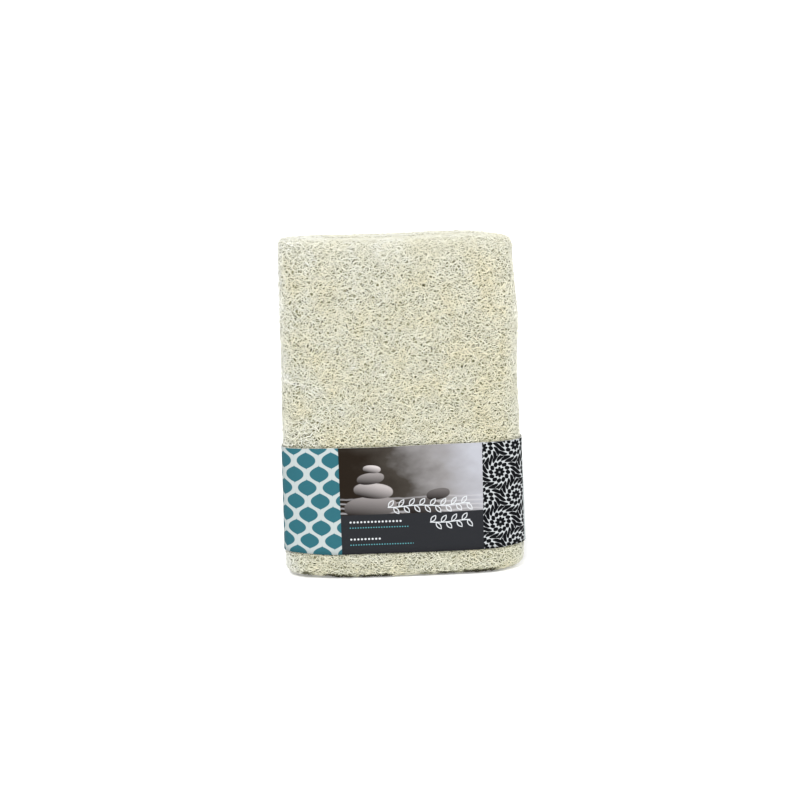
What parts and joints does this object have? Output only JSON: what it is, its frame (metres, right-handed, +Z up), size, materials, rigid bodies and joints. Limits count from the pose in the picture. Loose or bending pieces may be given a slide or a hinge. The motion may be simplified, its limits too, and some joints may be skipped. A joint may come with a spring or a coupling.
{
  "type": "natural loofah sponge",
  "caption": "Flattened section of dried loofah gourd standing on its cut end, a raised net of curly fibre, with a printed paper band round its lower part.",
  "frame": {"origin": "centre of the bounding box in plan, on the plane of the lower cut end", "axes": "+X along the width to the right as seen from the front, -Y is the front face, +Z up along the gourd's length"},
  "size_m": [0.1042, 0.036, 0.1448],
  "materials": {
    "loofah_fibre": "matt dry plant fibre",
    "printed_paper": "printed paper, satin"
  },
  "bodies": {
    "root": {"sponge": "loofah_fibre", "paper_band": "printed_paper"}
  },
  "joints": []
}
